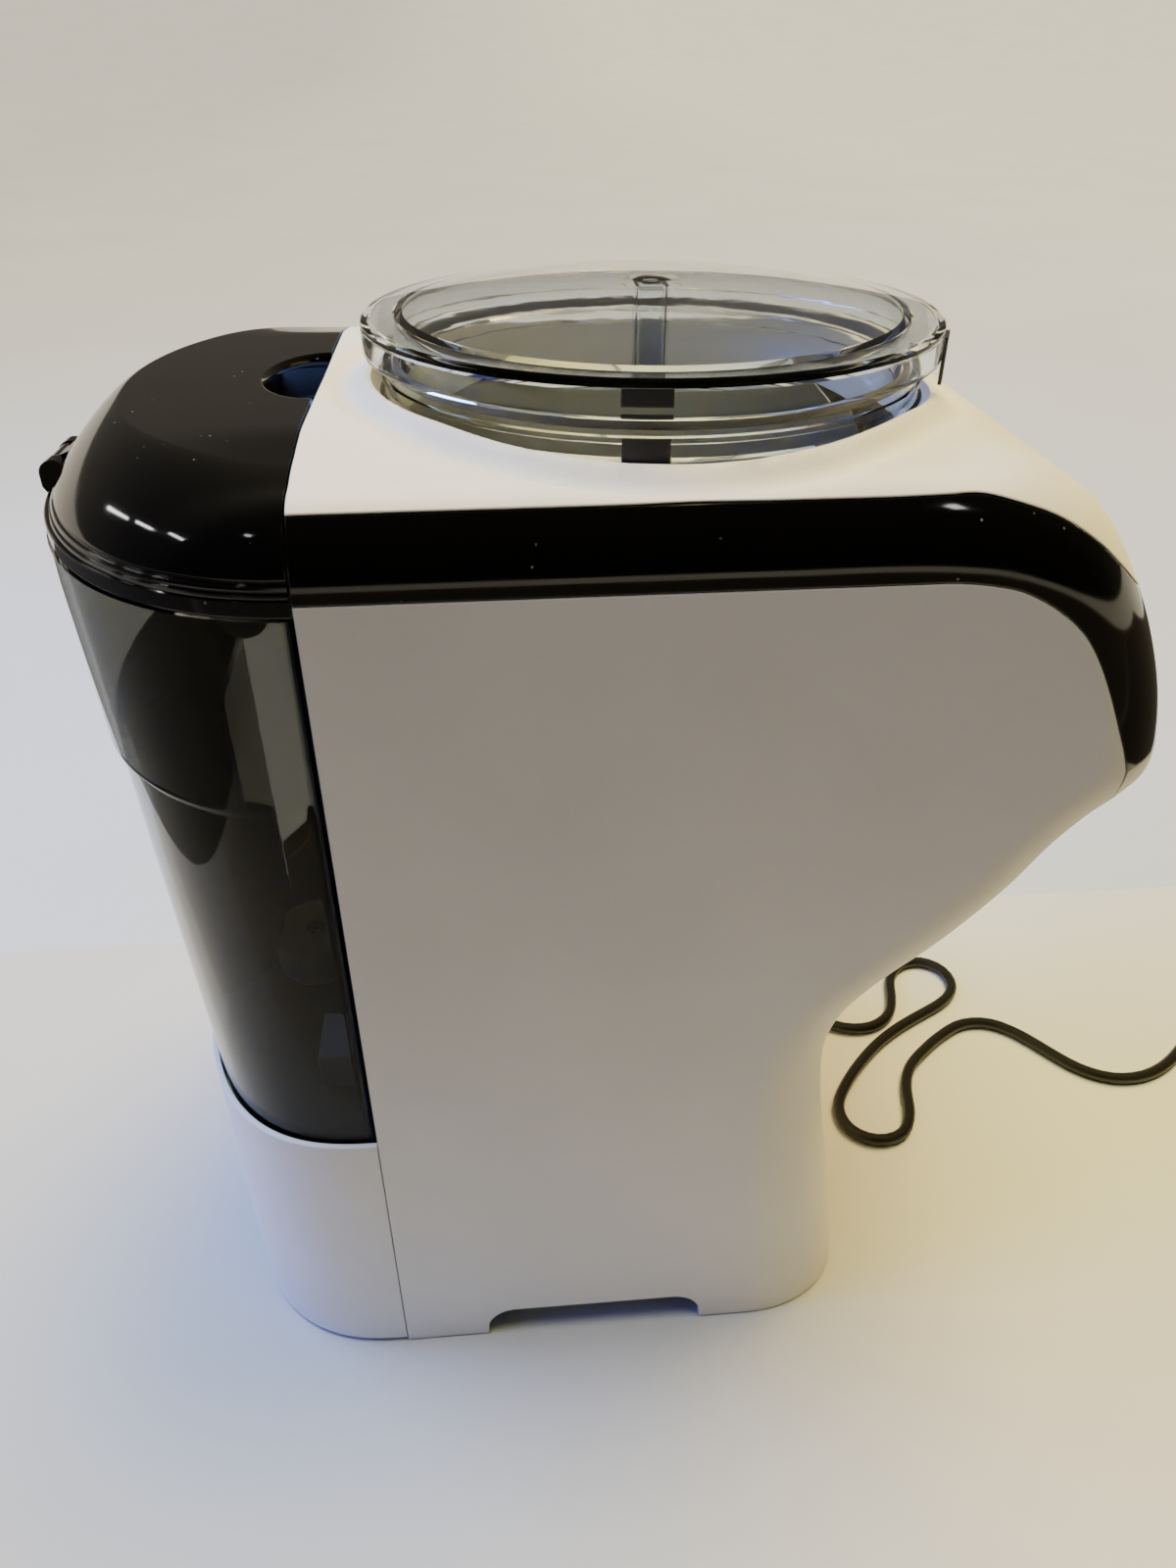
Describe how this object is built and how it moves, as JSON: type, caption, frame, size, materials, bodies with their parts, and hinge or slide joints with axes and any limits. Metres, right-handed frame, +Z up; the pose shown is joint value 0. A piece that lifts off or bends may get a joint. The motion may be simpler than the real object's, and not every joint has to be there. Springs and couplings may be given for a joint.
{
  "type": "countertop water dispenser",
  "caption": "Countertop dispenser that heats water and mixes it with powder: clear powder container on top, smoked rear water tank, funnel drawer under the nose.",
  "frame": {"origin": "middle of the appliance's footprint, on the table under its feet", "axes": "+Z up, -Y towards the user where the cup stands, +Y to the water tank, +X to the side where the mains lead leaves"},
  "size_m": [0.2302, 0.5168, 0.3378],
  "materials": {
    "white_shell": "fine satin texture, moulded white ABS",
    "black_gloss": "high gloss, moulded",
    "black_plastic": "satin",
    "smoked_clear": "smoked clear plastic, polished",
    "clear_plastic": "clear plastic, polished",
    "white_inner": "moulded, plain",
    "silicone": "smooth silicone",
    "rubber": "matt",
    "steel": "plain stainless",
    "brass": "machined",
    "circuit_board": "solder-masked board",
    "cord_jacket": "satin PVC jacket",
    "display": "dark window"
  },
  "bodies": {
    "housing": {"left_side_panel": "white_shell", "right_side_panel": "white_shell", "top_cover": "white_shell", "lower_front_cover": "white_shell", "tank_cradle": "white_shell", "fascia_band": "black_gloss", "rear_wall": "white_inner", "base_plate": "white_inner", "upper_deck": "white_inner", "tank_socket": "white_inner", "rubber_foot_1": "rubber", "rubber_foot_2": "rubber", "rubber_foot_3": "rubber", "rubber_foot_4": "rubber", "cord_gland": "rubber", "base_screw_1": "steel", "base_screw_2": "steel", "powder_motor": "steel", "motor_bracket": "steel", "pump_motor": "steel", "heater_block": "steel", "water_spout": "steel", "socket_seal": "silicone", "inlet_hose": "silicone", "pump_hose": "silicone", "outlet_hose": "silicone", "level_sensor": "black_plastic", "pump_body": "black_plastic", "thermostat": "black_plastic", "coil_tie": "black_plastic", "plug": "black_plastic", "powder_chute": "clear_plastic", "drive_bearing": "brass", "power_board": "circuit_board", "control_board": "circuit_board", "display_lens": "display", "cord_lead": "cord_jacket", "cord_coil": "cord_jacket", "cord_tail": "cord_jacket"},
    "tank": {"water_tank": "smoked_clear", "tank_collar": "black_plastic", "inlet_filter": "white_inner", "valve_spring": "steel", "lid_hinge_pin": "steel"},
    "lid": {"tank_lid": "black_gloss"},
    "valve": {"tank_valve_poppet": "white_inner"},
    "float_body": {"float": "white_inner"},
    "container": {"powder_container": "clear_plastic"},
    "seal": {"lid_seal": "silicone"},
    "container_lid": {"powder_lid": "clear_plastic"},
    "rotor": {"dosing_disc": "white_inner", "mixing_wheel": "white_inner"},
    "gear": {"drive_gear": "white_inner"},
    "pinion": {"motor_pinion": "brass"},
    "drawer": {"funnel_drawer": "white_shell", "funnel": "clear_plastic"},
    "minus": {"minus_button": "black_plastic"},
    "plus": {"plus_button": "black_plastic"},
    "temperature": {"temperature_button": "black_plastic"},
    "start": {"start_button": "black_plastic"}
  },
  "joints": [
    {"name": "tank_lift", "type": "slide", "parent": "housing", "child": "tank", "axis": [0, 0, 1], "range_m": [0, 0.25]},
    {"name": "tank_lid_hinge", "type": "hinge", "parent": "tank", "child": "lid", "pos_m": [0, 0.1485, 0.2924], "axis": [-1, 0, 0], "range_deg": [0, 100]},
    {"name": "tank_valve_slide", "type": "slide", "parent": "tank", "child": "valve", "axis": [0, 0, 1], "range_m": [0, 0.0025], "stiffness_N_per_m": 150, "springref_m": -0.002, "deforming": ["valve_spring"]},
    {"name": "float_rise", "type": "slide", "parent": "tank", "child": "float_body", "axis": [0, 0, 1], "range_m": [0, 0.02]},
    {"name": "container_lift", "type": "slide", "parent": "housing", "child": "container", "axis": [0, 0, 1], "range_m": [0, 0.15]},
    {"name": "lid_pull", "type": "slide", "parent": "container", "child": "seal", "axis": [0, 0, 1], "range_m": [0, 0.06]},
    {"name": "lid_twist", "type": "hinge", "parent": "seal", "child": "container_lid", "pos_m": [0, -0.0193, 0.325], "axis": [0, 0, 1], "range_deg": [0, 30]},
    {"name": "gear_spin", "type": "hinge", "parent": "housing", "child": "gear", "pos_m": [0, -0.0193, 0.23], "axis": [0, 0, 1], "continuous": true},
    {"name": "rotor_spin", "type": "hinge", "parent": "container", "child": "rotor", "pos_m": [0, -0.0193, 0.25], "axis": [0, 0, 1], "continuous": true},
    {"name": "pinion_spin", "type": "hinge", "parent": "housing", "child": "pinion", "pos_m": [0.036, -0.0193, 0.23], "axis": [0, 0, 1], "continuous": true},
    {"name": "drawer_pull", "type": "slide", "parent": "housing", "child": "drawer", "axis": [0, -1, 0], "range_m": [0, 0.06]},
    {"name": "minus_press", "type": "slide", "parent": "housing", "child": "minus", "axis": [0, 0.9681, -0.2504], "range_m": [0, 0.0012], "stiffness_N_per_m": 300, "springref_m": -0.0005},
    {"name": "plus_press", "type": "slide", "parent": "housing", "child": "plus", "axis": [0, 0.9681, -0.2504], "range_m": [0, 0.0012], "stiffness_N_per_m": 300, "springref_m": -0.0005},
    {"name": "temperature_press", "type": "slide", "parent": "housing", "child": "temperature", "axis": [0, 0.9681, -0.2504], "range_m": [0, 0.0012], "stiffness_N_per_m": 300, "springref_m": -0.0005},
    {"name": "start_press", "type": "slide", "parent": "housing", "child": "start", "axis": [0, 0.9681, -0.2504], "range_m": [0, 0.0012], "stiffness_N_per_m": 300, "springref_m": -0.0005}
  ],
  "couplings": [
    {"joint": "rotor_spin", "follows": "gear_spin", "ratio": 1},
    {"joint": "pinion_spin", "follows": "gear_spin", "ratio": -3}
  ]
}
